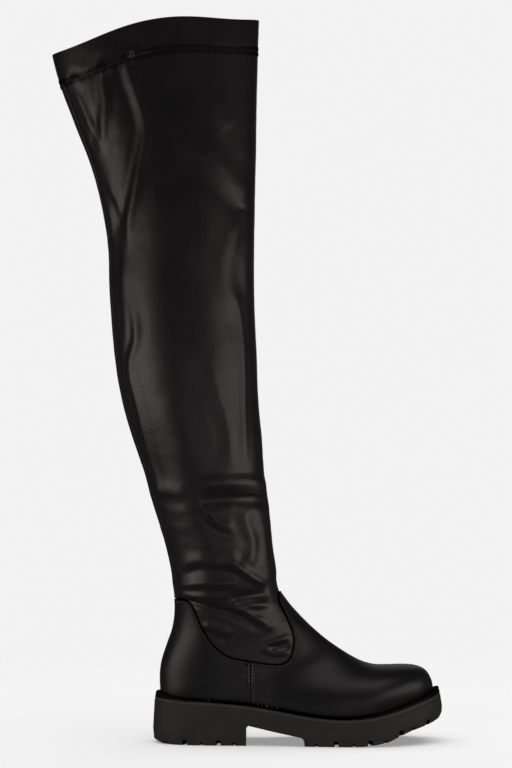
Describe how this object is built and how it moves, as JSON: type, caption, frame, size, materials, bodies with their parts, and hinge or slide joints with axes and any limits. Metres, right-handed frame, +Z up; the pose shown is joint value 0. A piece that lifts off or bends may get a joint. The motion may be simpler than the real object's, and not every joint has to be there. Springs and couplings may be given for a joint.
{
  "type": "thigh high boot",
  "caption": "Pull-on stretch boot that covers the leg to the thigh, with toe and heel overlays and a lugged sole with a block heel.",
  "frame": {"origin": "on the floor under the middle of the heel block", "axes": "+X towards the toe, +Y towards the inner side of the leg, +Z up"},
  "size_m": [0.3753, 0.1088, 0.6922],
  "materials": {
    "sole_rubber": "matte moulded rubber",
    "welt_rubber": "matte rubber",
    "insole_fabric": "matte textile",
    "stretch_leather": "semi-gloss stretch imitation leather",
    "overlay_leather": "semi-gloss imitation leather"
  },
  "bodies": {
    "root": {"outsole": "sole_rubber", "welt": "welt_rubber", "insole": "insole_fabric", "upper": "stretch_leather", "vamp": "overlay_leather", "counter": "overlay_leather", "cuff": "stretch_leather", "back_stay": "stretch_leather"}
  },
  "joints": []
}
